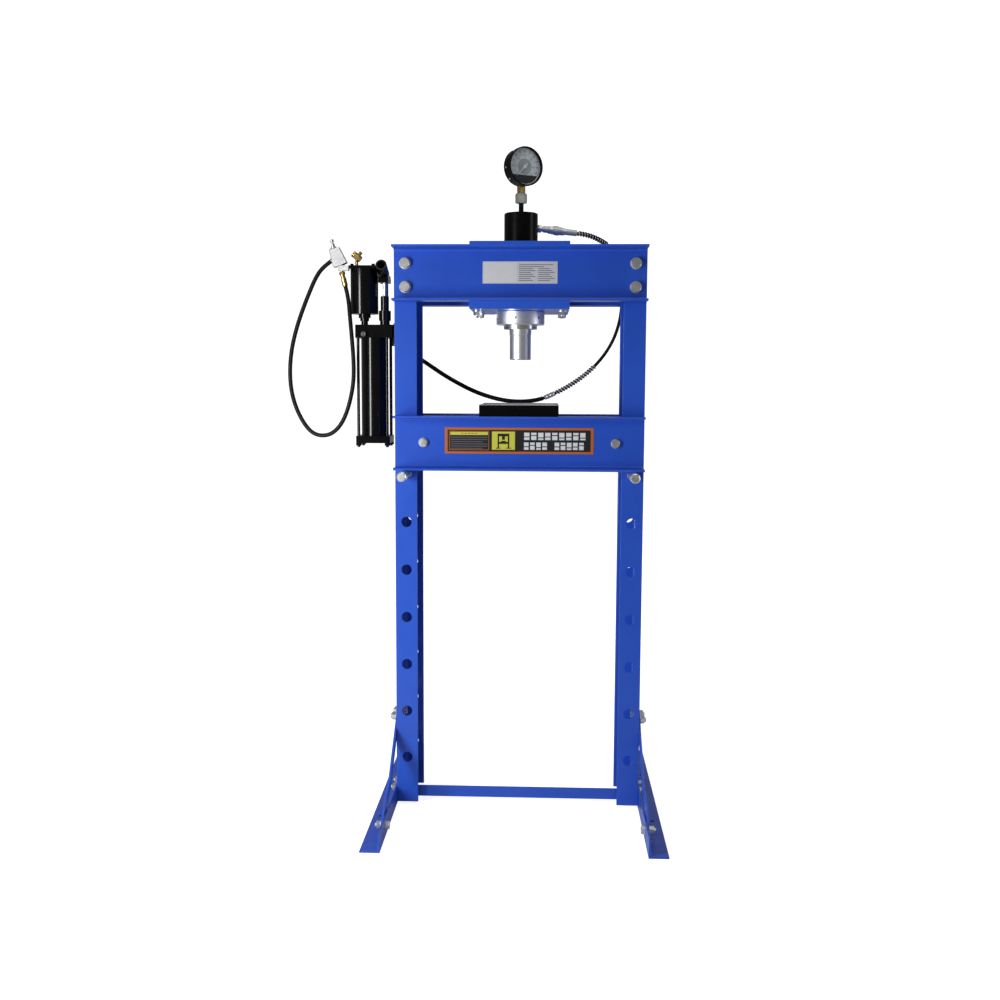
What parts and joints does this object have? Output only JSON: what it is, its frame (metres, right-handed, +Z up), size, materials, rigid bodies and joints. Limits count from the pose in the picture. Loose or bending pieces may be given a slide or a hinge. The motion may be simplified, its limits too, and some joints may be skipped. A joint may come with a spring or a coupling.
{
  "type": "hydraulic shop press",
  "caption": "Floor-standing hydraulic shop press with a channel-iron frame, a pinned lifting bed, a spring-return ram and an air-driven pump on its side.",
  "frame": {"origin": "on the floor, midway between the two posts and midway between the front and back ends of the feet", "axes": "+X is the operator's right, +Y points to the back, +Z points up"},
  "size_m": [0.9885, 0.8, 1.744],
  "materials": {
    "blue_paint": "royal-blue gloss enamel",
    "zinc_steel": "zinc-plated steel",
    "plate_label": "printed aluminium sheet",
    "black_enamel": "black gloss enamel",
    "bright_steel": "ground and chromed steel",
    "cast_aluminium": "machined aluminium",
    "brass": "machined brass",
    "hose_rubber": "black hose rubber",
    "dial_white": "printed dial and white pointer",
    "clear_glass": "clear window glass"
  },
  "bodies": {
    "frame": {"left_post": "blue_paint", "right_post": "blue_paint", "front_top_beam": "blue_paint", "rear_top_beam": "blue_paint", "top_beam_bolts": "zinc_steel", "lower_cross_bar": "blue_paint", "left_foot": "blue_paint", "right_foot": "blue_paint", "foot_braces": "blue_paint", "foot_bolts": "zinc_steel", "name_plate": "plate_label", "head_top_plate": "blue_paint", "head_bottom_plate": "blue_paint", "head_studs": "zinc_steel", "ram_cylinder": "black_enamel", "collar_ring": "bright_steel", "cylinder_gland": "bright_steel", "return_spring": "bright_steel", "port_fittings": "zinc_steel", "gauge_pipe": "black_enamel", "gauge_union_nut": "zinc_steel", "gauge_stem": "brass", "gauge_case": "black_enamel", "gauge_bezel": "black_enamel", "gauge_dial": "dial_white", "gauge_glass": "clear_glass", "pump_mounting_plate": "black_enamel", "pump_block": "black_enamel", "reservoir_tube": "black_enamel", "reservoir_end_plate": "black_enamel", "reservoir_tie_rods": "black_enamel", "outlet_elbow": "black_enamel", "air_motor_head": "black_enamel", "air_motor_cylinder": "black_enamel", "air_motor_base": "black_enamel", "breather_fitting": "brass", "hand_pump_barrel": "black_enamel", "air_valve_body": "zinc_steel", "air_inlet_block": "black_enamel", "air_hose_fittings": "brass", "air_hose": "hose_rubber", "pressure_hose": "hose_rubber", "hose_sleeves": "hose_rubber"},
    "bed": {"front_bed_channel": "blue_paint", "rear_bed_channel": "blue_paint", "bed_ties": "zinc_steel", "instruction_panel": "plate_label"},
    "left_plate": {"left_arbor_plate": "black_enamel"},
    "right_plate": {"right_arbor_plate": "black_enamel"},
    "left_pin": {"left_bed_pin": "bright_steel"},
    "right_pin": {"right_bed_pin": "bright_steel"},
    "ram": {"ram_rod": "bright_steel", "ram_tip": "bright_steel", "ram_piston": "bright_steel"},
    "needle": {"gauge_needle": "dial_white"},
    "pump_lever": {"handle_socket": "black_enamel"},
    "plunger": {"hand_pump_plunger": "bright_steel"},
    "motor_piston": {"air_motor_piston": "cast_aluminium"},
    "release_knob": {"release_valve_knob": "black_enamel"},
    "air_lever": {"air_valve_lever": "zinc_steel"}
  },
  "joints": [
    {"name": "ram_slide", "type": "slide", "parent": "frame", "child": "ram", "axis": [0, 0, -1], "range_m": [0, 0.1], "stiffness_N_per_m": 1500, "springref_m": -0.1, "deforming": ["return_spring"]},
    {"name": "bed_lift", "type": "slide", "parent": "frame", "child": "bed", "axis": [0, 0, 1], "range_m": [0, 0.012]},
    {"name": "left_plate_slide", "type": "slide", "parent": "bed", "child": "left_plate", "axis": [-1, 0, 0], "range_m": [0, 0.12]},
    {"name": "right_plate_slide", "type": "slide", "parent": "bed", "child": "right_plate", "axis": [1, 0, 0], "range_m": [0, 0.12]},
    {"name": "left_pin_pull", "type": "slide", "parent": "frame", "child": "left_pin", "axis": [0, -1, 0], "range_m": [0, 0.31]},
    {"name": "right_pin_pull", "type": "slide", "parent": "frame", "child": "right_pin", "axis": [0, -1, 0], "range_m": [0, 0.31]},
    {"name": "needle_turn", "type": "hinge", "parent": "frame", "child": "needle", "pos_m": [0.00996, -0.01594, 1.694], "axis": [-0.5299, 0.848, 0], "range_deg": [0, 270], "stiffness_Nm_per_rad": 0.0008, "springref_deg": -28.65},
    {"name": "pump_lever_rock", "type": "hinge", "parent": "frame", "child": "pump_lever", "pos_m": [-0.36, 0.022, 1.404], "axis": [1, 0, 0], "range_deg": [-20, 20]},
    {"name": "plunger_slide", "type": "slide", "parent": "frame", "child": "plunger", "axis": [0, 0, 1], "range_m": [-0.0078, 0.0078]},
    {"name": "motor_piston_slide", "type": "slide", "parent": "frame", "child": "motor_piston", "axis": [0, 0, -1], "range_m": [0, 0.024], "stiffness_N_per_m": 500, "springref_m": -0.02},
    {"name": "release_knob_turn", "type": "hinge", "parent": "frame", "child": "release_knob", "pos_m": [-0.409, -0.052, 1.261], "axis": [0, 1, 0], "range_deg": [0, 180]},
    {"name": "air_lever_press", "type": "hinge", "parent": "frame", "child": "air_lever", "pos_m": [-0.47982, -0.026, 1.47964], "axis": [0, 1, 0], "range_deg": [0, 10], "stiffness_Nm_per_rad": 0.06, "springref_deg": -14.32}
  ],
  "couplings": [
    {"joint": "plunger_slide", "follows": "pump_lever_rock", "m_per_rad": -0.022}
  ]
}
